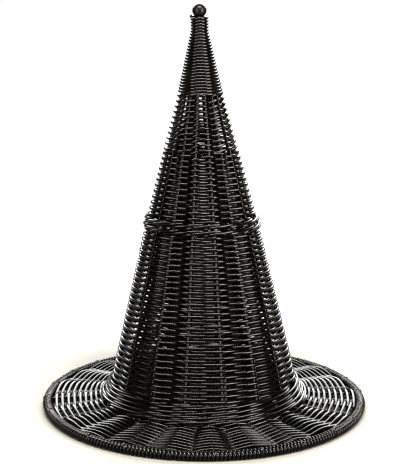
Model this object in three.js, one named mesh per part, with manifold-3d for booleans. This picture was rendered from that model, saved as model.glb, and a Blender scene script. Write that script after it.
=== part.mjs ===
// A witch hat woven in wicker: a tall cone of weave on sixteen stakes, which flare out below
// into the spokes of a flat round brim. The brim ends in a wrapped hoop, and the cone in a
// turned plug with a ball on top. Millimetres, +Z up, with the origin under the middle of
// the brim. Azimuths are counted from the front (-Y) towards +X.

import * as THREE from 'three';
import { mergeVertices } from 'three/addons/utils/BufferGeometryUtils.js';
import Module from 'manifold-3d';

const wasm = await Module();
wasm.setup();

// Driving dimensions
const brimDiameter = 350;
const strandDiameter = 3;
const gap = 0.3;                    // left between pieces that touch
const weaveDepth = 3 * strandDiameter;  // a weaver, a stake and a weaver behind it
const crownLean = 0.0145;           // the cone stands this much out of plumb, towards -X
const crownLeanStart = 12;          // height from which it leans

// Stakes and spokes
const stakeCount = 16;
const byStakeCount = 8;
const firstStakeAzimuth = 11.25;
const firstSpokeAzimuth = 3;
const crownTwist = 3.5;             // degrees that a stake drifts from the brim to the tip
const byStakeOffset = 2.1;          // degrees from a by-stake to the stake that it stands against
const stakeTop = 382;
const strandRadius = strandDiameter / 2;

// Centre line of a stake: a straight cone with a slight belly, a flare, then the brim
const coneFootRadius = 104.55;
const coneSlope = 0.255;
const bellyDepth = 2;
const bellyStart = 40;
const bellyEnd = 320;
const twinedTop = 334;
const brimOuterHeight = 5.2;
const brimSlope = 0.05;
const flareLength = 22;             // from the corner of cone and brim to each end of the flare

// Heights where one band of weave gives way to the next
const twinedFoot = 277.2;
const upperFoot = 208.2;
const middleFoot = 194.8;
const middleWaleBulge = 1.8;
const baseWaleEnd = 0.62;           // along the flare, 0 at its crown end and 1 at its brim end

// Rim
const rimRadius = 5.1;
const hoopRadius = 2.2;
const rimCentre = brimDiameter / 2 - rimRadius;

// Tip
const wrapFoot = 335.5;
const wrapFootRadius = 23.5;
const wrapSlope = 0.2224;
const wrapNeckRadius = 9.2;
const wrapTop = 415.8;
const plugShankRadius = 5.6;
const plugFoot = 352;
const plugTop = 413.2;
const ballRadius = 7.3;
const ballCentre = 420.2;
const pinRadius = 1.6;
const pinLength = 14;
const pinFoot = 406;

const crownSegments = 32;
const brimSegments = 48;
const degrees = Math.PI / 180;

const strandMaterial = new THREE.MeshStandardMaterial({ color: 0x1a1815, roughness: 0.3 });
const weaverMaterial = new THREE.MeshStandardMaterial({ color: 0x16130f, roughness: 0.32 });
const wrapMaterial = new THREE.MeshStandardMaterial({ color: 0x1d1b18, roughness: 0.36 });
const ballMaterial = new THREE.MeshStandardMaterial({ color: 0x12100e, roughness: 0.14 });
const plugMaterial = new THREE.MeshStandardMaterial({ color: 0x2a221a, roughness: 0.6 });
const wireMaterial = new THREE.MeshStandardMaterial({ color: 0x4a4a4a, roughness: 0.4, metalness: 0.9 });

// ---- centre line -----------------------------------------------------------------------

function coneRadius(height) {
  const along = THREE.MathUtils.clamp((height - bellyStart) / (bellyEnd - bellyStart), 0, 1);
  return coneFootRadius - coneSlope * height + bellyDepth * Math.sin(Math.PI * along);
}

// The wrap lies straight on the stakes, and higher up on the neck of the plug.
function wrapRadius(height) {
  return Math.max(wrapFootRadius - wrapSlope * (height - wrapFoot), wrapNeckRadius);
}

function crownPoint(height) {
  const wrapped = wrapRadius(height) - strandDiameter - strandRadius;
  return new THREE.Vector2(height > wrapFoot ? wrapped : coneRadius(height), height);
}

function brimPoint(radius) {
  return new THREE.Vector2(radius, brimOuterHeight + brimSlope * (rimCentre - rimRadius - radius));
}

// The flare rounds the corner where the cone's line would meet the brim's.
function makeFlare() {
  const brimInnerHeight = brimPoint(coneFootRadius).y;
  const corner = new THREE.Vector2(coneRadius(brimInnerHeight), brimInnerHeight);
  const upCone = new THREE.Vector2(-coneSlope, 1).setLength(flareLength);
  const outBrim = new THREE.Vector2(1, -brimSlope).setLength(flareLength);
  return new THREE.QuadraticBezierCurve(corner.clone().add(upCone), corner, corner.clone().add(outBrim));
}

const flare = makeFlare();
const flareTop = flare.v0.y;
const flareEnd = flare.v2.x;

// ---- solids ----------------------------------------------------------------------------

function toSolid(geometry) {
  const bare = geometry.clone();
  bare.deleteAttribute('normal');
  bare.deleteAttribute('uv');
  const merged = mergeVertices(bare, 1e-4);
  return new wasm.Manifold(new wasm.Mesh({
    numProp: 3,
    vertProperties: merged.attributes.position.array,
    triVerts: Uint32Array.from(merged.index.array),
  }));
}

function toGeometry(solid) {
  const mesh = solid.getMesh();
  const geometry = new THREE.BufferGeometry();
  geometry.setAttribute('position', new THREE.BufferAttribute(mesh.vertProperties, 3));
  geometry.setIndex(new THREE.BufferAttribute(mesh.triVerts, 1));
  geometry.computeVertexNormals();
  return geometry;
}

// A ring or solid of revolution about +Z from (radius, height) points, counter-clockwise.
function turned(profile, segments) {
  const geometry = new THREE.LatheGeometry(profile, segments);
  geometry.rotateX(Math.PI / 2);
  return geometry;
}

function regularProfile(centre, radius, sides) {
  const points = [];
  for (let i = 0; i <= sides; i += 1) {
    const angle = (i % sides + 0.5) * 2 * Math.PI / sides;
    const corner = new THREE.Vector2(Math.cos(angle), Math.sin(angle)).multiplyScalar(radius);
    points.push(corner.add(centre));
  }
  return points;
}

// A band of weave: the stretch of centre line thickened to both sides.
function bandProfile(centreLine, bulge = 0) {
  const outer = [];
  const inner = [];
  for (const { point, outward } of centreLine) {
    outer.unshift(point.clone().addScaledVector(outward, weaveDepth / 2 + bulge));
    inner.push(point.clone().addScaledVector(outward, -weaveDepth / 2));
  }
  return [...outer, ...inner, outer[0].clone()];
}

// Stretches of centre line run from the top down, each point with the way out of the hat.
function crownStretch(top, foot, steps) {
  const outward = new THREE.Vector2(1, coneSlope).normalize();
  const stretch = [];
  for (let i = 0; i <= steps; i += 1) {
    stretch.push({ point: crownPoint(THREE.MathUtils.lerp(top, foot, i / steps)), outward });
  }
  return stretch;
}

function flareStretch(from, to, steps) {
  const stretch = [];
  for (let i = 0; i <= steps; i += 1) {
    const t = THREE.MathUtils.lerp(from, to, i / steps);
    const along = flare.getTangent(t);
    stretch.push({ point: flare.getPoint(t), outward: new THREE.Vector2(-along.y, along.x) });
  }
  return stretch;
}

function brimEdge(radius) {
  return { point: brimPoint(radius), outward: new THREE.Vector2(brimSlope, 1).normalize() };
}

// ---- strands ---------------------------------------------------------------------------

const crownSteps = 4;
const flareSteps = 4;
const brimSteps = 1;
const pathSteps = crownSteps + flareSteps + brimSteps;
const strandSides = 5;

// A stake or by-stake, from its top end down the crown, round the flare and out to the hoop.
class StrandPath extends THREE.Curve {
  constructor(strand, overrun) {
    super();
    this.strand = strand;
    this.top = strand.top + (strand.top < stakeTop ? overrun : 0);
    this.end = rimCentre - hoopRadius - gap + overrun;
  }

  // Steps follow t and not the length, so that most of them fall on the flare.
  getUtoTmapping(u) {
    return u;
  }

  // A stake's first step ends where the wrap does, because the cone changes its slope there.
  crownHeight(step) {
    if (this.top < wrapFoot) return THREE.MathUtils.lerp(this.top, flareTop, step / crownSteps);
    if (step < 1) return THREE.MathUtils.lerp(this.top, wrapFoot, step);
    return THREE.MathUtils.lerp(wrapFoot, flareTop, (step - 1) / (crownSteps - 1));
  }

  getPoint(t, target = new THREE.Vector3()) {
    const step = t * pathSteps;
    const { crownAzimuth, spokeAzimuth } = this.strand;
    let point;
    let azimuth;
    if (step <= crownSteps) {
      point = crownPoint(this.crownHeight(step));
      azimuth = crownAzimuth + crownTwist * (point.y - flareTop) / (stakeTop - flareTop);
    } else if (step <= crownSteps + flareSteps) {
      const along = (step - crownSteps) / flareSteps;
      point = flare.getPoint(along);
      azimuth = THREE.MathUtils.lerp(crownAzimuth, spokeAzimuth, THREE.MathUtils.smoothstep(along, 0, 1));
    } else {
      const along = (step - crownSteps - flareSteps) / brimSteps;
      point = brimPoint(THREE.MathUtils.lerp(flareEnd, this.end, along));
      azimuth = spokeAzimuth;
    }
    const turn = azimuth * degrees;
    return target.set(point.x * Math.sin(turn), -point.x * Math.cos(turn), point.y);
  }
}

function sectionShape(radius, sides) {
  const shape = new THREE.Shape();
  for (let i = 0; i < sides; i += 1) {
    const angle = i * 2 * Math.PI / sides;
    const x = radius * Math.cos(angle);
    const y = radius * Math.sin(angle);
    if (i === 0) shape.moveTo(x, y);
    else shape.lineTo(x, y);
  }
  shape.closePath();
  return shape;
}

function strandGeometry(strand, section, overrun = 0) {
  return new THREE.ExtrudeGeometry(section, {
    steps: pathSteps,
    bevelEnabled: false,
    extrudePath: new StrandPath(strand, overrun),
  });
}

const strandSection = sectionShape(strandRadius, strandSides);
const channelSection = sectionShape(strandRadius + 1.2 * gap, strandSides);
const channelOverrun = 0.6;

// By-stakes stand to the right of every second stake. Two near the front reach higher than
// the rest, and one of those has moved a stake nearer to the front.
const byStakeHosts = [0, 1, 4, 6, 8, 10, 12, 14];
const byStakeTop = 46;
const tallByStakeTops = { 0: 58, 1: 70 };

function planStrands() {
  const strands = [];
  const spokePitch = 360 / (stakeCount + byStakeCount);
  let byStakes = 0;
  for (let i = 0; i < stakeCount; i += 1) {
    const crownAzimuth = firstStakeAzimuth + i * 360 / stakeCount;
    const number = String(i + 1).padStart(2, '0');
    const spokeAzimuth = firstSpokeAzimuth + strands.length * spokePitch;
    strands.push({ name: `stake_${number}`, top: stakeTop, crownAzimuth, spokeAzimuth });
    if (byStakeHosts.includes(i)) {
      byStakes += 1;
      strands.push({
        name: `by_stake_${String(byStakes).padStart(2, '0')}`,
        top: tallByStakeTops[i] ?? byStakeTop,
        crownAzimuth: crownAzimuth + byStakeOffset,
        spokeAzimuth: spokeAzimuth + spokePitch,
      });
    }
  }
  return strands;
}

const strands = planStrands();
const channels = strands.map((strand) => toSolid(strandGeometry(strand, channelSection, channelOverrun)));

// Every band of weave grips the stakes, so it has a channel for each one that crosses it.
function channelled(geometry) {
  let solid = toSolid(geometry);
  for (const channel of channels) {
    solid = solid.subtract(channel);
  }
  return toGeometry(solid);
}

// ---- tip -------------------------------------------------------------------------------

const neckHeight = wrapFoot + (wrapFootRadius - wrapNeckRadius) / wrapSlope;

function ballGeometry() {
  const flatRadius = 3;
  const start = Math.asin(flatRadius / ballRadius);
  const steps = 8;
  const profile = [new THREE.Vector2(0, pinFoot + pinLength + gap)];
  profile.push(new THREE.Vector2(pinRadius + gap, pinFoot + pinLength + gap));
  profile.push(new THREE.Vector2(pinRadius + gap, ballCentre - ballRadius * Math.cos(start)));
  for (let i = 0; i <= steps; i += 1) {
    const angle = THREE.MathUtils.lerp(start, Math.PI, i / steps);
    const radius = i === steps ? 0 : ballRadius * Math.sin(angle);
    profile.push(new THREE.Vector2(radius, ballCentre - ballRadius * Math.cos(angle)));
  }
  return turned(profile, 16);
}

function pinGeometry() {
  const geometry = new THREE.CylinderGeometry(pinRadius, pinRadius, pinLength, 10);
  geometry.rotateX(Math.PI / 2);
  geometry.translate(0, 0, pinFoot + pinLength / 2);
  return geometry;
}

// A turned plug: a shank between the stakes, a cone that their ends butt against, and a neck.
function plugGeometry() {
  const shoulder = stakeTop + 2 * gap;
  const neckRadius = wrapNeckRadius - strandDiameter;
  const chamfer = 0.5;
  return turned([
    new THREE.Vector2(0, plugFoot),
    new THREE.Vector2(plugShankRadius - 2, plugFoot),
    new THREE.Vector2(plugShankRadius, plugFoot + 3),
    new THREE.Vector2(plugShankRadius, shoulder),
    new THREE.Vector2(wrapRadius(shoulder) - strandDiameter, shoulder),
    new THREE.Vector2(neckRadius, neckHeight),
    new THREE.Vector2(neckRadius, plugTop - chamfer),
    new THREE.Vector2(neckRadius - chamfer, plugTop),
    new THREE.Vector2(pinRadius + gap, plugTop),
    new THREE.Vector2(pinRadius + gap, pinFoot - gap),
    new THREE.Vector2(0, pinFoot - gap),
  ], 16);
}

function tipWrapGeometry() {
  const thickness = strandDiameter - gap;
  const rounding = strandRadius / 2;
  return turned([
    new THREE.Vector2(wrapFootRadius - thickness, wrapFoot),
    new THREE.Vector2(wrapFootRadius - rounding, wrapFoot),
    new THREE.Vector2(wrapRadius(wrapFoot + strandRadius), wrapFoot + strandRadius),
    new THREE.Vector2(wrapNeckRadius, neckHeight),
    new THREE.Vector2(wrapNeckRadius, wrapTop - strandRadius),
    new THREE.Vector2(wrapNeckRadius - rounding, wrapTop),
    new THREE.Vector2(wrapNeckRadius - thickness, wrapTop),
    new THREE.Vector2(wrapNeckRadius - thickness, neckHeight),
    new THREE.Vector2(wrapFootRadius - thickness, wrapFoot),
  ], crownSegments);
}

// ---- rim -------------------------------------------------------------------------------

const rimSection = new THREE.Vector2(rimCentre, rimRadius);

function hoopGeometry() {
  return turned(regularProfile(rimSection, hoopRadius, 6), brimSegments);
}

// An eight-sided section stands on a flat, so the rim rests on a level ring.
function rimWrapGeometry() {
  const cornerRadius = rimRadius / Math.cos(Math.PI / 8);
  const sleeve = toSolid(turned(regularProfile(rimSection, cornerRadius, 8), brimSegments));
  const bore = toSolid(turned(regularProfile(rimSection, hoopRadius + gap + 0.1, 6), brimSegments));
  return channelled(toGeometry(sleeve.subtract(bore)));
}

// ---- assembly --------------------------------------------------------------------------

// Everything above the brim follows the cone out of plumb.
function leaned(geometry) {
  const position = geometry.attributes.position;
  for (let i = 0; i < position.count; i += 1) {
    const rise = Math.max(position.getZ(i) - crownLeanStart, 0);
    position.setX(i, position.getX(i) - crownLean * rise);
  }
  return geometry;
}

const group = new THREE.Group();

function addPiece(name, geometry, material) {
  const mesh = new THREE.Mesh(leaned(geometry), material.clone());
  mesh.name = name;
  group.add(mesh);
}

addPiece('finial_ball', ballGeometry(), ballMaterial);
addPiece('finial_pin', pinGeometry(), wireMaterial);
addPiece('tip_plug', plugGeometry(), plugMaterial);
addPiece('tip_wrap', tipWrapGeometry(), wrapMaterial);

for (const strand of strands) {
  addPiece(strand.name, strandGeometry(strand, strandSection), strandMaterial);
}

const bands = {
  twined_weave: bandProfile(crownStretch(twinedTop, twinedFoot + gap, 1)),
  upper_weave: bandProfile(crownStretch(twinedFoot, upperFoot + gap, 1)),
  middle_wale: bandProfile(crownStretch(upperFoot, middleFoot + gap, 1), middleWaleBulge),
  lower_weave: bandProfile(crownStretch(middleFoot, flareTop + 3 * gap, 3)),
  base_wale: bandProfile(flareStretch(0, baseWaleEnd - 0.02, 3)),
  brim_weave: bandProfile([...flareStretch(baseWaleEnd, 1, 2), brimEdge(rimCentre - rimRadius - 3 * gap)]),
};
for (const [name, profile] of Object.entries(bands)) {
  addPiece(name, channelled(turned(profile, crownSegments)), weaverMaterial);
}

addPiece('rim_hoop', hoopGeometry(), wireMaterial);
addPiece('rim_wrap', rimWrapGeometry(), wrapMaterial);

export default group;
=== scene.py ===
import math

import bpy
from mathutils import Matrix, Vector, noise


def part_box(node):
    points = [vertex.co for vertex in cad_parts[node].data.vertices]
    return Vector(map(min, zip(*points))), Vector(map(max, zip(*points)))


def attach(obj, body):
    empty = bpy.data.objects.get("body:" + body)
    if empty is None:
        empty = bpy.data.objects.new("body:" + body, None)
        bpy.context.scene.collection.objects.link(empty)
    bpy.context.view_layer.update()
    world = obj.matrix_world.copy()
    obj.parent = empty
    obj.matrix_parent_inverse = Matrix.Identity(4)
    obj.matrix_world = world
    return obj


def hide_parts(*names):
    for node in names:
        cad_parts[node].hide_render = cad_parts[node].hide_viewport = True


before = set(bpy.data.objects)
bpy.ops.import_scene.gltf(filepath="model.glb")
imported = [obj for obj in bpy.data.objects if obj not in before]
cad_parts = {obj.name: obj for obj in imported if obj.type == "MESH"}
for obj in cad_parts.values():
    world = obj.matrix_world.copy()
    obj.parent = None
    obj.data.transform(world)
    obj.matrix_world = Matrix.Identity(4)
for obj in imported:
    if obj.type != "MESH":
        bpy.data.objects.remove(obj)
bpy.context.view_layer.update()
print("frame loaded:", len(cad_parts), "nodes")

mm = 0.001


def hexColour(code):
    # sRGB hex to the linear values that the shaders take
    channels = [int(code[i:i + 2], 16) / 255 for i in (1, 3, 5)]
    return [c / 12.92 if c <= 0.04045 else ((c + 0.055) / 1.055) ** 2.4 for c in channels] + [1.0]


def addNode(tree, kind, settings=None, links=None, stops=()):
    # one node with its fields, sockets and ramp stops set, and its inputs linked to other outputs
    node = tree.nodes.new(kind)
    for key, value in (settings or {}).items():
        if isinstance(key, str) and hasattr(node, key):
            setattr(node, key, value)
        else:
            node.inputs[key].default_value = value
    for key, (source, output) in (links or {}).items():
        tree.links.new(source.outputs[output], node.inputs[key])
    for i, (share, code) in enumerate(stops):
        ramp = node.color_ramp.elements
        stop = ramp[i] if i < len(ramp) else ramp.new(share)
        stop.position = share
        stop.color = hexColour(code)
    return node


def selectOnly(piece):
    bpy.ops.object.select_all(action="DESELECT")
    piece.select_set(True)
    bpy.context.view_layer.objects.active = piece


def mix(a, b, share):
    return a + (b - a) * share


def smooth(share):
    share = min(max(share, 0.0), 1.0)
    return share * share * (3 - 2 * share)


# The same leading sizes as the frame: a stake's centre line is a cone with a slight belly,
# then a flare, then the brim. Sizes in metres, azimuths in degrees from the front towards +X.
hat = {
    "strand": 3.0 * mm,
    "coneFoot": 104.55 * mm,    # the cone's radius where it would meet the ground
    "coneSlope": 0.255,
    "belly": 2.0 * mm,
    "bellyFrom": 40 * mm,
    "bellyTo": 320 * mm,
    "lean": 0.0145,             # the crown leans a little to the left as it rises
    "leanFrom": 12 * mm,
    "flare": 22 * mm,           # length of the bend on each side of the cone's corner with the brim
    "brimEdgeHeight": 5.2 * mm,
    "brimSlope": 0.05,          # the brim falls gently outwards
    "brimWeaveFrom": 110 * mm,
    "stakes": 16,
    "firstStake": 11.25,
    "spokes": 24,
    "firstSpoke": 3.0,
    "twist": 3.5,               # degrees that the stakes drift round from flare to tip
}

half = hat["strand"] / 2
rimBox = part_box("rim_wrap")
rimRadius = (rimBox[1].z - rimBox[0].z) / 2
rimCentre = (rimBox[1].x - rimBox[0].x) / 2 - rimRadius
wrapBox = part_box("tip_wrap")
wrapFoot = wrapBox[0].z
wrapTop = wrapBox[1].z
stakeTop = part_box("stake_01")[1].z
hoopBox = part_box("rim_hoop")
hoopRadius = (hoopBox[1].z - hoopBox[0].z) / 2

# The outside of the tip wrap; the stakes follow it inside.
tipCone = {
    "footRadius": 23.5 * mm,
    "slope": 0.2224,
    "neckRadius": 9.2 * mm,
}


def coneRadius(z):
    share = min(max((z - hat["bellyFrom"]) / (hat["bellyTo"] - hat["bellyFrom"]), 0), 1)
    return hat["coneFoot"] - hat["coneSlope"] * z + hat["belly"] * math.sin(math.pi * share)


def wrapRadius(z):
    return max(tipCone["footRadius"] - tipCone["slope"] * (z - wrapFoot), tipCone["neckRadius"])


def brimHeight(radius):
    return hat["brimEdgeHeight"] + hat["brimSlope"] * (rimCentre - rimRadius - radius)


def makeStakeLine():
    # (radius, height) every millimetre or so from the stake's top down and out to the hoop
    cornerHeight = brimHeight(hat["coneFoot"])
    corner = Vector((coneRadius(cornerHeight), cornerHeight))
    upCone = Vector((-hat["coneSlope"], 1)).normalized() * hat["flare"]
    outBrim = Vector((1, -hat["brimSlope"])).normalized() * hat["flare"]
    flareStart, flareEnd = corner + upCone, corner + outBrim
    points = []
    crownSteps = int((stakeTop - flareStart.y) / mm)
    for i in range(crownSteps):
        z = mix(stakeTop, flareStart.y, i / crownSteps)
        radius = coneRadius(z) if z < wrapFoot else wrapRadius(z) - 3 * half
        points.append(Vector((radius, z)))
    flareSteps = 40
    for i in range(flareSteps):
        t = i / flareSteps
        points.append(flareStart * (1 - t) ** 2 + corner * (2 * t * (1 - t)) + flareEnd * t * t)
    brimSteps = 45
    for i in range(brimSteps + 1):
        radius = mix(flareEnd.x, rimCentre - hoopRadius, i / brimSteps)
        points.append(Vector((radius, brimHeight(radius))))
    return points, flareStart, flareEnd


stakeLine, flareStart, flareEnd = makeStakeLine()
lineLength = [0.0]
for before, after in zip(stakeLine, stakeLine[1:]):
    lineLength.append(lineLength[-1] + (after - before).length)


def onLine(station):
    # the point, and the way out of the hat, at a distance down the stake line
    station = min(max(station, 0.0), lineLength[-1] - 1e-9)
    low, high = 0, len(lineLength) - 1
    while high - low > 1:
        middle = (low + high) // 2
        if lineLength[middle] <= station:
            low = middle
        else:
            high = middle
    share = (station - lineLength[low]) / (lineLength[high] - lineLength[low])
    before = stakeLine[max(low - 1, 0)]
    after = stakeLine[min(high + 1, len(stakeLine) - 1)]
    along = (after - before).normalized()
    return stakeLine[low].lerp(stakeLine[high], share), Vector((-along.y, along.x))


def stationAtHeight(z):
    for point, length in zip(stakeLine, lineLength):
        if point.y <= z:
            return length
    return lineLength[-1]


def stationAtRadius(radius):
    for point, length in zip(stakeLine, lineLength):
        if point.x >= radius and point.y < flareStart.y:
            return length
    return lineLength[-1]


def around(radius, z, azimuth):
    turn = math.radians(azimuth)
    lean = hat["lean"] * max(z - hat["leanFrom"], 0)
    return Vector((radius * math.sin(turn) - lean, -radius * math.cos(turn), z))


def place(station, azimuth, out=0.0):
    point, outward = onLine(station)
    return around(point.x + outward.x * out, point.y + outward.y * out, azimuth)


def twistAt(z):
    # degrees that the stakes have drifted round at this height
    return hat["twist"] * max(z - flareStart.y, 0) / (stakeTop - flareStart.y)


def wander(a, b, seed):
    # smooth hand-made unevenness, between -1 and 1
    return noise.noise(Vector((a, b, seed * 7.31)))


strandMesh = {
    "sides": 10,
    "merge": 0.01 * mm,
    "crease": 55,               # degrees: only the cut ends of a strand are sharper
}


def strandPiece(name, paths, size, closed=False):
    # each path becomes a round strand; all of them are one mesh
    curve = bpy.data.curves.new(name, "CURVE")
    curve.dimensions = "3D"
    curve.bevel_depth = size / 2
    curve.bevel_resolution = (strandMesh["sides"] - 4) // 2
    curve.use_fill_caps = not closed
    for path in paths:
        spline = curve.splines.new("POLY")
        spline.points.add(len(path) - 1)
        spline.points.foreach_set("co", [c for p in path for c in (p.x, p.y, p.z, 1.0)])
        spline.use_cyclic_u = closed
    piece = bpy.data.objects.new(name, curve)
    bpy.context.scene.collection.objects.link(piece)
    selectOnly(piece)
    bpy.ops.object.convert(target="MESH")
    piece = bpy.context.object
    bpy.ops.object.mode_set(mode="EDIT")
    bpy.ops.mesh.select_all(action="SELECT")
    bpy.ops.mesh.remove_doubles(threshold=strandMesh["merge"])
    bpy.ops.object.mode_set(mode="OBJECT")
    markAlong(piece, paths)
    bpy.ops.object.shade_smooth_by_angle(angle=math.radians(strandMesh["crease"]))
    return piece


def markAlong(piece, paths):
    # each vertex keeps its place on the strand as if that were pulled straight, for the grain
    mesh = piece.data
    rings = sum(len(path) for path in paths)
    sides = len(mesh.vertices) // rings
    straightened = []
    for path in paths:
        along = 0.0
        for i, point in enumerate(path):
            along += (point - path[i - 1]).length if i else 0.0
            for side in range(sides):
                turn = 2 * math.pi * side / sides
                straightened += [half * math.cos(turn), half * math.sin(turn), along]
    attribute = mesh.attributes.new("strandPlace", "FLOAT_VECTOR", "POINT")
    if len(straightened) == 3 * len(mesh.vertices):
        attribute.data.foreach_set("vector", straightened)
    else:
        print("note:", piece.name, "has", len(mesh.vertices), "vertices for", rings, "rings")


def finishPiece(piece, material, slot, *nodes):
    piece.data.materials.clear()
    piece.data.materials.append(material)
    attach(piece, "root")
    if nodes:
        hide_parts(*nodes)


def newMaterial(name):
    material = bpy.data.materials.new(name)
    material.use_nodes = True
    tree = material.node_tree
    tree.nodes.clear()
    shader = addNode(tree, "ShaderNodeBsdfPrincipled")
    addNode(tree, "ShaderNodeOutputMaterial", links={"Surface": (shader, "BSDF")})
    return material, tree, shader


rattan = {
    "deep": "#070604",          # the darkest stretches, on every strand
    "weaver": ("#0b0907", "#17130f", 0.0),      # body colour, worn colour, added roughness
    "stake": ("#0e0c0a", "#1c1814", 0.02),
    "wrap": ("#0f0d0b", "#1c1916", 0.0),
    "ior": 1.51,
    "roughLow": 0.12,
    "roughHigh": 0.17,
    "grainWidth": 0.22 * mm,
    "grainLength": 14 * mm,
    "grainDepth": 0.02 * mm,
    "grainStrength": 0.04,
    "patch": 22 * mm,           # length of a duller stretch
}


def rattanMaterial(name, body, worn, addedRoughness):
    # Extruded polyethylene rattan, dyed black in the mass: a satin skin with fine drawn lines
    # along each strand, and duller, browner stretches where it has been bent and rubbed.
    material, tree, shader = newMaterial(name)
    straight = addNode(tree, "ShaderNodeAttribute", {"attribute_name": "strandPlace"})
    grainScale = (1 / rattan["grainWidth"], 1 / rattan["grainWidth"], 1 / rattan["grainLength"])
    stretched = addNode(tree, "ShaderNodeMapping", {"Scale": grainScale},
                        {"Vector": (straight, "Vector")})
    grain = addNode(tree, "ShaderNodeTexNoise", {"Scale": 1.0, "Detail": 3.0, "Roughness": 0.6},
                    {"Vector": (stretched, "Vector")})
    where = addNode(tree, "ShaderNodeTexCoord")
    patches = addNode(tree, "ShaderNodeTexNoise", {"Scale": 1 / rattan["patch"], "Detail": 4.0},
                      {"Vector": (where, "Object")})
    tint = addNode(tree, "ShaderNodeValToRGB", links={"Fac": (patches, "Fac")},
                   stops=[(0.30, rattan["deep"]), (0.52, body), (0.78, worn)])
    fleck = addNode(tree, "ShaderNodeMix", {"data_type": "RGBA", "blend_type": "SOFT_LIGHT", 0: 0.35},
                    {6: (tint, "Color"), 7: (grain, "Color")})
    sheen = addNode(tree, "ShaderNodeMapRange",
                    {"From Min": 0.3, "From Max": 0.7, "To Min": rattan["roughLow"] + addedRoughness,
                     "To Max": rattan["roughHigh"] + addedRoughness}, {"Value": (grain, "Fac")})
    lines = addNode(tree, "ShaderNodeBump",
                    {"Strength": rattan["grainStrength"], "Distance": rattan["grainDepth"]},
                    {"Height": (grain, "Fac")})
    shader.inputs["IOR"].default_value = rattan["ior"]
    tree.links.new(fleck.outputs[2], shader.inputs["Base Color"])
    tree.links.new(sheen.outputs["Result"], shader.inputs["Roughness"])
    tree.links.new(lines.outputs["Normal"], shader.inputs["Normal"])
    return material


weaverRattan = rattanMaterial("black_rattan_weaver", *rattan["weaver"])
stakeRattan = rattanMaterial("black_rattan_stake", *rattan["stake"])
wrapRattan = rattanMaterial("black_rattan_wrap", *rattan["wrap"])
print("rattan materials made")


weave = {
    "stiffness": 0.07,          # how much straighter than a sine a strand runs between stakes
    "tuckedRound": 0.03,        # part of a round that a strand's end takes to go behind
}


def overUnder(phase):
    # a stiff strand bends most where it rounds a stake and is nearly straight between two
    stiffness = weave["stiffness"]
    return (math.cos(phase) + stiffness * math.cos(3 * phase)) / (1 + stiffness)


def tuck(share, turns):
    # 1 at the two ends of a strand, which go behind out of sight, and 0 in between
    edge = weave["tuckedRound"] / turns
    return max(1 - share / edge, 1 - (1 - share) / edge, 0.0)


# Settle is how far outer strokes lie below a row's middle, and inner ones above it. TuckDepth is
# how far a strand's two ends go in.
plain = {
    "pitch": 3.1 * mm,          # from one row to the next
    "strand": 3.25 * mm,
    "pointsPerStake": 6,
    "wanderAlong": 0.12 * mm,
    "alongEvery": 31,           # degrees from one unevenness to the next
    "alongRows": 1.3,           # and how much of it changes from row to row
    "wanderOut": 0.14 * mm,
    "outEvery": 23,
    "outRows": 0.9,
    "loosening": 0.06,          # rows are closer by this share at tightestAt, and wider half a band on
    "tightestAt": 0.23,
    "upper": {"settle": 0.35 * mm, "tuckDepth": 4 * half, "seed": 11},
    "lower": {"settle": 0.08 * mm, "tuckDepth": 4 * half, "seed": 31},
    "brim": {"settle": 0.0, "tuckDepth": 0.0, "seed": 51},
}

weaverOut = half + plain["strand"] / 2


def packing(share):
    # rows are beaten down harder in the first half of a band than in the second
    swing = 2 * math.pi
    tightest = swing * plain["tightestAt"]
    return share - plain["loosening"] / swing * (math.sin(swing * share - tightest) + math.sin(tightest))


def plainWeaver(top, foot, index, uprights, phaseAt, band):
    # one of two strands that chase each other round and change sides at every upright
    turns = max(round((foot - top) / (2 * plain["pitch"])), 1)
    steps = turns * uprights * plain["pointsPerStake"]
    seed = band["seed"] + index
    path = []
    for i in range(steps + 1):
        share = i / steps
        azimuth = 180 + 360 * turns * share + 180 * index
        station = mix(top, foot, packing(share))
        point, _ = onLine(station)
        phase = uprights / 2 * math.radians(azimuth - phaseAt(point)) + math.pi * index
        row = turns * share * 2 + index
        out = weaverOut * overUnder(phase)
        out += plain["wanderOut"] * wander(azimuth / plain["outEvery"], row * plain["outRows"], seed)
        out -= band["tuckDepth"] * tuck(share, turns)
        uneven = wander(azimuth / plain["alongEvery"], row * plain["alongRows"], seed + 5)
        station += plain["wanderAlong"] * uneven + band["settle"] * overUnder(phase)
        path.append(place(station, azimuth, out))
    return path


def crownPhase(point):
    return hat["firstStake"] + twistAt(point.y)


def brimPhase(point):
    return hat["firstSpoke"]


twined = {
    "turns": 11,
    "pointsPerStake": 8,
    "rise": 1.55 * mm,          # how far the two strands pass above and below each other
    "bow": 0.75 * mm,           # and how far both arch up over each pair of stakes
    "settle": 0.7 * mm,         # outer strokes lie lower than inner ones
    "wander": 0.25 * mm,
    "wanderEvery": 29,          # degrees
    "wanderChange": 17,         # how much it changes from the band's top to its foot
    "seed": 3,
    "tuckDepth": 4 * half,
    "underWrap": 1.6 * mm,      # the first round starts this far up inside the tip wrap
}


def twinedStrand(top, foot, index):
    # two strands that enclose two stakes at a time and turn half round each other in between
    turns = twined["turns"]
    steps = turns * hat["stakes"] * twined["pointsPerStake"]
    path = []
    for i in range(steps + 1):
        share = i / steps
        azimuth = 180 - 360 * turns * share
        station = mix(top, foot, share)
        point, _ = onLine(station)
        firstPair = crownPhase(point) - 180 / hat["stakes"]
        phase = hat["stakes"] / 4 * math.radians(azimuth - firstPair) + math.pi * index
        out = weaverOut * overUnder(phase) - twined["tuckDepth"] * tuck(share, turns)
        station -= twined["rise"] * math.sin(phase) ** 3 + twined["bow"] * math.cos(2 * phase)
        uneven = wander(azimuth / twined["wanderEvery"], share * twined["wanderChange"], twined["seed"])
        station += twined["settle"] * math.cos(phase) + twined["wander"] * uneven
        path.append(place(station, azimuth, out))
    return path


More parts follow.
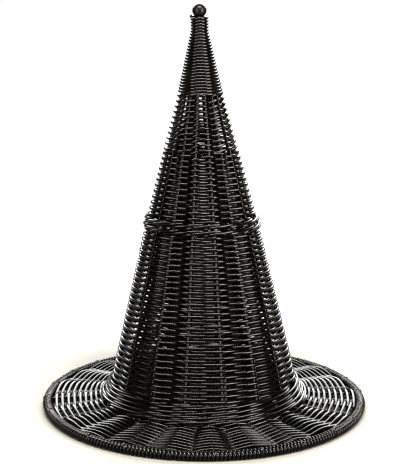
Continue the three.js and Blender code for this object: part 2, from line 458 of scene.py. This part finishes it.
wale = {
    "rods": 3,
    "pointsPerStake": 8,
    "slant": 2.6 * mm,          # how much a rod climbs from one stake to the next in front
    "bow": 0.12,                # and how much further out it goes between the two, as a share
    "wander": 0.4 * mm,
    "waves": 3,                 # how quickly it changes round the hat
    "middle": {"rounds": 2, "bulge": 1.6 * mm, "seed": 21},
    "base": {"rounds": 4, "bulge": 0.6 * mm, "seed": 41},
}


def waleRound(station, bulge, seed):
    # Three rods at once, each in front of two stakes and behind the third, and climbing to the
    # right in front. Sixteen stakes are one more than five threes, so after each turn a rod
    # takes up the next one's stroke, and the three meet end to end.
    steps = wale["rods"] * hat["stakes"] * wale["pointsPerStake"]
    path = []
    for i in range(steps):
        azimuth = 180 + 360 * wale["rods"] * i / steps
        point, _ = onLine(station)
        stroke = (azimuth - crownPhase(point)) * hat["stakes"] / 360 % wale["rods"]
        if stroke < 1:
            out = -math.cos(math.pi * stroke)
        elif stroke < 2:
            out = 1 + wale["bow"] * math.sin(math.pi * (stroke - 1))
        else:
            out = math.cos(math.pi * (stroke - 2))
        climb = stroke - 1.5
        if stroke < 0.5:
            climb = mix(0, -1, stroke / 0.5)
        elif stroke > 2.5:
            climb = mix(1, 0, (stroke - 2.5) / 0.5)
        out = weaverOut * out + bulge * smooth(out + 0.5)
        turn = math.radians(azimuth)
        uneven = wander(math.cos(turn) * wale["waves"], math.sin(turn) * wale["waves"], seed)
        path.append(place(station - wale["slant"] * climb + wale["wander"] * uneven, azimuth, out))
    return path


twinedTop = stationAtHeight(wrapFoot) - twined["underWrap"]
twinedFoot = stationAtHeight(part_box("twined_weave")[0].z)
upperFoot = stationAtHeight(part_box("upper_weave")[0].z)
middleFoot = stationAtHeight(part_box("middle_wale")[0].z)
lowerFoot = stationAtHeight(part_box("lower_weave")[0].z)
brimStart = stationAtRadius(hat["brimWeaveFrom"])
brimEnd = stationAtRadius(rimCentre - rimRadius)


def makeTwinedBand():
    for index, letter in enumerate("ab"):
        path = twinedStrand(twinedTop, twinedFoot, index)
        piece = strandPiece("twining_strand_" + letter, [path], hat["strand"])
        finishPiece(piece, weaverRattan, "weaver", "twined_weave")


def makePlainBand(name, node, top, foot, uprights, phaseAt, band):
    for index, letter in enumerate("ab"):
        path = plainWeaver(top, foot, index, uprights, phaseAt, band)
        piece = strandPiece(name + "_" + letter, [path], plain["strand"])
        finishPiece(piece, weaverRattan, "weaver", node)


def makeWale(name, node, top, foot, band):
    for index in range(band["rounds"]):
        station = mix(top, foot, (index + 0.5) / band["rounds"])
        path = waleRound(station, band["bulge"], band["seed"] + index)
        piece = strandPiece(name + "_%d" % (index + 1), [path], hat["strand"], closed=True)
        finishPiece(piece, weaverRattan, "weaver", node)


makeTwinedBand()
makePlainBand("upper_weaver", "upper_weave", twinedFoot, upperFoot + half,
              hat["stakes"], crownPhase, plain["upper"])
makeWale("middle_wale_round", "middle_wale", upperFoot, middleFoot, wale["middle"])
makePlainBand("lower_weaver", "lower_weave", middleFoot - half, lowerFoot,
              hat["stakes"], crownPhase, plain["lower"])
makeWale("base_wale_round", "base_wale", lowerFoot, brimStart, wale["base"])
makePlainBand("brim_weaver", "brim_weave", brimStart, brimEnd, hat["spokes"], brimPhase, plain["brim"])
print("bands woven")


stakes = {
    "step": 2.5 * mm,
    "byStakeHosts": [0, 1, 4, 6, 8, 10, 12, 14],    # the stakes that have a second one beside them
    "byStakeOffset": 2.1,       # degrees
}


def stakePath(top, crownAzimuth, spokeAzimuth):
    # down the crown, fanning round to its spoke's azimuth on the flare, and out to the hoop
    path = []
    start = stationAtHeight(top)
    flareTop, flareFoot = stationAtHeight(flareStart.y), stationAtRadius(flareEnd.x)
    steps = int((lineLength[-1] - start) / stakes["step"])
    for i in range(steps + 1):
        station = mix(start, lineLength[-1], i / steps)
        point, _ = onLine(station)
        azimuth = crownAzimuth + twistAt(point.y)
        azimuth = mix(azimuth, spokeAzimuth, smooth((station - flareTop) / (flareFoot - flareTop)))
        path.append(place(station, azimuth))
    return path


def makeUpright(node, crownAzimuth, spoke):
    spokeAzimuth = hat["firstSpoke"] + spoke * 360 / hat["spokes"]
    path = stakePath(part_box(node)[1].z, crownAzimuth, spokeAzimuth)
    piece = strandPiece(node + "_strand", [path], hat["strand"])
    finishPiece(piece, stakeRattan, "stake", node)


def makeStakes():
    # each stake takes the next spoke's place on the brim, and so does each by-stake
    spoke = 0
    byStake = 0
    for i in range(hat["stakes"]):
        crownAzimuth = hat["firstStake"] + i * 360 / hat["stakes"]
        makeUpright("stake_%02d" % (i + 1), crownAzimuth, spoke)
        spoke += 1
        if i in stakes["byStakeHosts"]:
            byStake += 1
            makeUpright("by_stake_%02d" % byStake, crownAzimuth + stakes["byStakeOffset"], spoke)
            spoke += 1


makeStakes()
print("stakes placed")


rim = {
    "turns": 273,               # all round, about 3.9 mm apart
    "pointsPerTurn": 14,
    "strand": 3.6 * mm,         # stouter than the rest
    "uneven": 0.10 * mm,
    "waves": 3.1,               # how quickly it changes, to the degree
    "seed": 61,
    "tieLift": 0.50 * mm,       # a tie stands this proud of the winding
    "tieFrom": 205,             # degrees round the rim's section, on the inside
    "tieTo": -35,               # and outside, near the ground
    "tieSlant": (-0.4, 1.2),    # degrees round the hat, at its two ends
    "tieSteps": 24,
    "tieSink": (1.0 * mm, 1.2 * mm),    # how deep its two ends go in
    "tieSinkShare": (0.18, 0.28),       # and over how much of its length
}


def onRim(azimuth, turn, radius):
    # turn 0 is the outside of the rim, 90 its top and 180 its inside
    angle = math.radians(turn)
    return around(rimCentre + radius * math.cos(angle), rimRadius + radius * math.sin(angle), azimuth)


def makeRimWrap():
    woundRadius = rimRadius - rim["strand"] / 2
    path = []
    steps = rim["turns"] * rim["pointsPerTurn"]
    for i in range(steps):
        turn = i / rim["pointsPerTurn"]
        azimuth = hat["firstSpoke"] + 360 * turn / rim["turns"]
        uneven = rim["uneven"] * wander(azimuth * rim["waves"], 0.5, rim["seed"])
        path.append(onRim(azimuth, 360 * turn, woundRadius + uneven))
    piece = strandPiece("rim_winding", [path], rim["strand"], closed=True)
    finishPiece(piece, wrapRattan, "wrap", "rim_wrap")


def makeRimTies():
    # at each spoke a strand crosses over the winding and goes down outside it
    paths = []
    lift = rimRadius + rim["tieLift"]
    startSink, endSink = rim["tieSink"]
    startShare, endShare = rim["tieSinkShare"]
    for i in range(hat["spokes"]):
        azimuth = hat["firstSpoke"] + i * 360 / hat["spokes"]
        path = []
        for j in range(rim["tieSteps"] + 1):
            share = j / rim["tieSteps"]
            turn = mix(rim["tieFrom"], rim["tieTo"], share)
            slant = mix(*rim["tieSlant"], smooth(share))
            sink = startSink * smooth((startShare - share) / startShare)
            sink += endSink * smooth((share - 1 + endShare) / endShare)
            path.append(onRim(azimuth + slant, turn, lift - half - sink))
        paths.append(path)
    piece = strandPiece("rim_ties", paths, hat["strand"])
    finishPiece(piece, wrapRattan, "wrap")


makeRimWrap()
makeRimTies()
print("rim wound")


tip = {
    "pitch": 3.06 * mm,
    "pointsPerTurn": 40,
    "footDrop": 0.4 * mm,       # the lowest turn bears on the twined band
    "topAzimuth": -95,          # the strand's top end is on the left
    "looseEnd": 1.0 * mm,       # and stands off the plug
    "looseTurn": 9,             # over a ninth of a turn
    "uneven": 0.10 * mm,
    "unevenEvery": 35,          # degrees
    "unevenChange": 40,         # how much it changes from foot to top
    "seed": 71,
    "faceted": 0.12 * mm,       # the lower turns show the stakes under them
    "facetedFade": 1.5,         # up to two thirds of the height
}


def makeTipWrap():
    foot, top = wrapFoot - tip["footDrop"], wrapTop - half
    turns = (top - foot) / tip["pitch"]
    steps = int(turns * tip["pointsPerTurn"])
    path = []
    for i in range(steps + 1):
        share = i / steps
        z = mix(foot, top, share)
        azimuth = tip["topAzimuth"] - 360 * turns * (1 - share)
        uneven = wander(azimuth / tip["unevenEvery"], share * tip["unevenChange"], tip["seed"])
        faceted = math.cos(math.radians(hat["stakes"] * azimuth)) * smooth(1 - share * tip["facetedFade"])
        loose = smooth(1 - (1 - share) * turns * tip["looseTurn"])
        radius = wrapRadius(z) - half + tip["uneven"] * uneven
        radius += tip["faceted"] * faceted + tip["looseEnd"] * loose
        path.append(around(radius, z, azimuth))
    piece = strandPiece("tip_winding", [path], hat["strand"])
    finishPiece(piece, wrapRattan, "wrap", "tip_wrap")


makeTipWrap()


bead = {
    "dark": "#171411",
    "light": "#221e1a",
    "peelScale": 900.0,         # ripples of the lacquer to the metre, about 1.1 mm apart
    "peelDepth": 0.05 * mm,
    "cloudScale": 220.0,
    "roughness": 0.34,
    "specular": 0.32,
    "coat": 0.05,
    "coatRoughness": 0.12,
    "segments": 48,
    "rings": 32,
    "cutAt": 0.86,              # the flat underneath, in radii below the middle
    "collarInset": 0.5 * mm,
    "collarHeight": 0.3 * mm,
    "crease": 40,
}


def lacquerMaterial():
    # Turned wood bead under thick black lacquer: a soft gloss with a slight orange peel
    material, tree, shader = newMaterial("black_lacquer_bead")
    where = addNode(tree, "ShaderNodeTexCoord")
    peel = addNode(tree, "ShaderNodeTexNoise", {"Scale": bead["peelScale"], "Detail": 2.0},
                   {"Vector": (where, "Object")})
    cloud = addNode(tree, "ShaderNodeTexNoise", {"Scale": bead["cloudScale"], "Detail": 3.0},
                    {"Vector": (where, "Object")})
    tint = addNode(tree, "ShaderNodeValToRGB", links={"Fac": (cloud, "Fac")},
                   stops=[(0.35, bead["dark"]), (0.7, bead["light"])])
    ripple = addNode(tree, "ShaderNodeBump", {"Strength": 0.12, "Distance": bead["peelDepth"]},
                     {"Height": (peel, "Fac")})
    shader.inputs["Roughness"].default_value = bead["roughness"]
    shader.inputs["Specular IOR Level"].default_value = bead["specular"]
    shader.inputs["Coat Weight"].default_value = bead["coat"]
    shader.inputs["Coat Roughness"].default_value = bead["coatRoughness"]
    tree.links.new(tint.outputs["Color"], shader.inputs["Base Color"])
    tree.links.new(ripple.outputs["Normal"], shader.inputs["Normal"])
    return material


def makeBall():
    # a turned bead: a sphere with a small flat and a short collar that sits in the wrap
    low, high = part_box("finial_ball")
    radius = (high.x - low.x) / 2
    centre = Vector(((low.x + high.x) / 2, (low.y + high.y) / 2, high.z - radius))
    bpy.ops.mesh.primitive_uv_sphere_add(segments=bead["segments"], ring_count=bead["rings"],
                                         radius=radius, location=centre)
    piece = bpy.context.object
    piece.name = "finial_bead"
    selectOnly(piece)
    bpy.ops.object.transform_apply(location=True, rotation=True, scale=True)
    bpy.ops.object.mode_set(mode="EDIT")
    bpy.ops.mesh.select_all(action="SELECT")
    cut = centre.z - radius * bead["cutAt"]
    bpy.ops.mesh.bisect(plane_co=(centre.x, centre.y, cut), plane_no=(0, 0, -1),
                        clear_outer=True, use_fill=True)
    bpy.ops.mesh.inset(thickness=bead["collarInset"])
    bpy.ops.mesh.extrude_region_move(TRANSFORM_OT_translate={"value": (0, 0, -bead["collarHeight"])})
    bpy.ops.mesh.select_all(action="SELECT")
    bpy.ops.mesh.normals_make_consistent(inside=False)
    bpy.ops.object.mode_set(mode="OBJECT")
    selectOnly(piece)
    bpy.ops.object.shade_smooth_by_angle(angle=math.radians(bead["crease"]))
    finishPiece(piece, lacquerMaterial(), "finial", "finial_ball")


makeBall()
print("tip finished")


# The plug, the hoop and the pin are hidden and keep their frame shapes.
plug = {
    "dark": "#15100b",
    "light": "#33261a",
    "fibres": (900, 900, 60),   # to the metre, across and along the grain
    "poreDepth": 0.1 * mm,
    "roughness": 0.6,
}

wire = {
    "colour": "#8a8a88",
    "marksScale": 700.0,
    "roughLow": 0.28,
    "roughHigh": 0.5,
}


def plugMaterial():
    # Turned hardwood under a black-brown stain: dark with the grain just showing
    material, tree, shader = newMaterial("stained_hardwood")
    where = addNode(tree, "ShaderNodeTexCoord")
    drawn = addNode(tree, "ShaderNodeMapping", {"Scale": plug["fibres"]}, {"Vector": (where, "Object")})
    fibres = addNode(tree, "ShaderNodeTexNoise", {"Scale": 1.0, "Detail": 5.0},
                     {"Vector": (drawn, "Vector")})
    tint = addNode(tree, "ShaderNodeValToRGB", links={"Fac": (fibres, "Fac")},
                   stops=[(0.35, plug["dark"]), (0.7, plug["light"])])
    pores = addNode(tree, "ShaderNodeBump", {"Strength": 0.3, "Distance": plug["poreDepth"]},
                    {"Height": (fibres, "Fac")})
    shader.inputs["Roughness"].default_value = plug["roughness"]
    tree.links.new(tint.outputs["Color"], shader.inputs["Base Color"])
    tree.links.new(pores.outputs["Normal"], shader.inputs["Normal"])
    return material


def wireMaterial():
    # Drawn steel wire: bright metal with fine marks and a dull film
    material, tree, shader = newMaterial("drawn_steel_wire")
    where = addNode(tree, "ShaderNodeTexCoord")
    marks = addNode(tree, "ShaderNodeTexNoise", {"Scale": wire["marksScale"], "Detail": 4.0},
                    {"Vector": (where, "Object")})
    film = addNode(tree, "ShaderNodeMapRange", {"To Min": wire["roughLow"], "To Max": wire["roughHigh"]},
                   {"Value": (marks, "Fac")})
    shader.inputs["Base Color"].default_value = hexColour(wire["colour"])
    shader.inputs["Metallic"].default_value = 1.0
    tree.links.new(film.outputs["Result"], shader.inputs["Roughness"])
    return material


def setMaterial(node, material):
    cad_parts[node].data.materials.clear()
    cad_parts[node].data.materials.append(material)


setMaterial("tip_plug", plugMaterial())
steel = wireMaterial()
setMaterial("rim_hoop", steel)
setMaterial("finial_pin", steel)
print("hidden pieces finished")


# A backdrop's direction runs from -1, towards the front or down, to 1, towards the back or up.
studio = {
    "floorColour": "#888886",
    "floorRoughness": 0.9,
    "floorSpecular": 0.1,
    "floorTooth": 300.0,
    "floorToothDepth": 0.2 * mm,
    "floorSize": 1.5,
    "floorFront": -0.7,
    "paintedFloorGlow": 0.9,             # painted light: the floor itself glows, more the farther out, so the far floor stays white
    "glowFrom": 0.17,           # it starts this far from the middle of the hat
    "glowTo": 0.45,
    "roomStrength": 0.015,      # the dark room on the camera's side
    "roomEnds": 0.30,           # it goes back to this direction
    "backdropFrom": 0.85,       # and from here on the white backdrop is fully lit
    "backdropStrength": 11.0,
    "backdropFoot": 0.21,       # below this direction it is dark
    "backdropTop": 0.32,        # and above this one fully lit
    "footStrength": 0.02,
    "shownStrength": 1.05,      # what the camera itself sees behind the floor
    "lightColour": "#fffaf4",
    "softboxes": {              # place, what it points at, width and height, watts
        "softbox_left": ((-1.02, -1.10, 0.48), (0, 0, 0.30), (0.65, 1.1), 33),
        "softbox_right": ((1.17, -0.95, 0.45), (0, 0, 0.30), (0.8, 1.3), 66),
        "softbox_top": ((0.05, -0.85, 1.75), (0, 0, 0.25), (1.5, 0.5), 100),
    },
    "frameHeight": 36,          # millimetres, as a lens's focal length is given for
    "lens": 85.10,
    "cameraPlace": (0, -1.15, 0.4049),
    "cameraDown": 10.660,       # degrees below level
    "cameraRoll": -0.00235,     # radians, and too little to see, as the next is
    "cameraTurn": 0.00456,
    "gamma": 0.60,
}


def makeFloor():
    middle = studio["floorSize"] / 2 + studio["floorFront"]
    bpy.ops.mesh.primitive_plane_add(size=studio["floorSize"], location=(0, middle, 0))
    floor = bpy.context.object
    floor.name = "studio_floor"
    bpy.ops.object.transform_apply(location=True, rotation=True, scale=True)
    material, tree, shader = newMaterial("pale_paper_painted_glow")
    where = addNode(tree, "ShaderNodeTexCoord")
    tooth = addNode(tree, "ShaderNodeTexNoise", {"Scale": studio["floorTooth"]},
                    {"Vector": (where, "Object")})
    shader.inputs["Base Color"].default_value = hexColour(studio["floorColour"])
    shader.inputs["Roughness"].default_value = studio["floorRoughness"]
    shader.inputs["Specular IOR Level"].default_value = studio["floorSpecular"]
    bump = addNode(tree, "ShaderNodeBump", {"Strength": 0.02, "Distance": studio["floorToothDepth"]},
                   {"Height": (tooth, "Fac")})
    tree.links.new(bump.outputs["Normal"], shader.inputs["Normal"])
    # painted light: the floor glows, not at all by the hat and more the farther out, so the far floor is
    # white while the shade round the hat stays
    away = addNode(tree, "ShaderNodeVectorMath", {"operation": "LENGTH"}, {0: (where, "Object")})
    glow = addNode(tree, "ShaderNodeMapRange",
                   {"interpolation_type": "SMOOTHSTEP", "From Min": studio["glowFrom"],
                    "From Max": studio["glowTo"], "To Min": 0.0, "To Max": studio["paintedFloorGlow"]},
                   {"Value": (away, "Value")})
    shader.inputs["Emission Color"].default_value = hexColour("#ffffff")
    tree.links.new(glow.outputs["Result"], shader.inputs["Emission Strength"])
    floor.data.materials.append(material)


def makeWorld():
    # a white backdrop behind, from a little above the floor up, that fades into a dark room in front
    world = bpy.data.worlds.new("studio")
    bpy.context.scene.world = world
    world.use_nodes = True
    tree = world.node_tree
    tree.nodes.clear()
    where = addNode(tree, "ShaderNodeTexCoord")
    parts = addNode(tree, "ShaderNodeSeparateXYZ", links={"Vector": (where, "Generated")})
    glow = addNode(tree, "ShaderNodeMapRange",
                   {"interpolation_type": "SMOOTHSTEP", "From Min": studio["roomEnds"],
                    "From Max": studio["backdropFrom"], "To Min": studio["roomStrength"],
                    "To Max": studio["backdropStrength"]}, {"Value": (parts, "Y")})
    rise = addNode(tree, "ShaderNodeMapRange",
                   {"interpolation_type": "SMOOTHSTEP", "From Min": studio["backdropFoot"],
                    "From Max": studio["backdropTop"], "To Min": studio["footStrength"], "To Max": 1.0},
                   {"Value": (parts, "Z")})
    lit = addNode(tree, "ShaderNodeMath", {"operation": "MULTIPLY"},
                  {0: (glow, "Result"), 1: (rise, "Result")})
    room = addNode(tree, "ShaderNodeBackground", {"Color": hexColour("#ffffff")},
                   {"Strength": (lit, "Value")})
    shown = addNode(tree, "ShaderNodeBackground",
                    {"Color": hexColour("#ffffff"), "Strength": studio["shownStrength"]})
    path = addNode(tree, "ShaderNodeLightPath")
    either = addNode(tree, "ShaderNodeMixShader", links={0: (path, "Is Camera Ray"),
                     1: (room, "Background"), 2: (shown, "Background")})
    addNode(tree, "ShaderNodeOutputWorld", links={"Surface": (either, "Shader")})


def addSoftbox(name, location, target, size, power):
    light = bpy.data.lights.new(name, "AREA")
    light.color = hexColour(studio["lightColour"])[:3]
    light.shape = "RECTANGLE"
    light.size, light.size_y = size
    light.energy = power
    lamp = bpy.data.objects.new(name, light)
    bpy.context.scene.collection.objects.link(lamp)
    lamp.location = location
    lamp.rotation_euler = (Vector(target) - Vector(location)).to_track_quat("-Z", "Y").to_euler()


def makeCamera():
    # 85 mm on a 36 mm tall frame, 1.15 m in front and 0.40 m up, tipped down to look at the crown
    data = bpy.data.cameras.new("camera")
    data.sensor_fit = "VERTICAL"
    data.sensor_height = studio["frameHeight"]
    data.lens = studio["lens"]
    camera = bpy.data.objects.new("camera", data)
    bpy.context.scene.collection.objects.link(camera)
    camera.location = studio["cameraPlace"]
    tilt = math.radians(90 - studio["cameraDown"])
    camera.rotation_euler = (tilt, studio["cameraRoll"], studio["cameraTurn"])
    bpy.context.scene.camera = camera


makeFloor()
makeWorld()
for name, softbox in studio["softboxes"].items():
    addSoftbox(name, *softbox)
makeCamera()
bpy.context.scene.view_settings.view_transform = "Standard"
bpy.context.scene.view_settings.gamma = studio["gamma"]
print("studio ready")
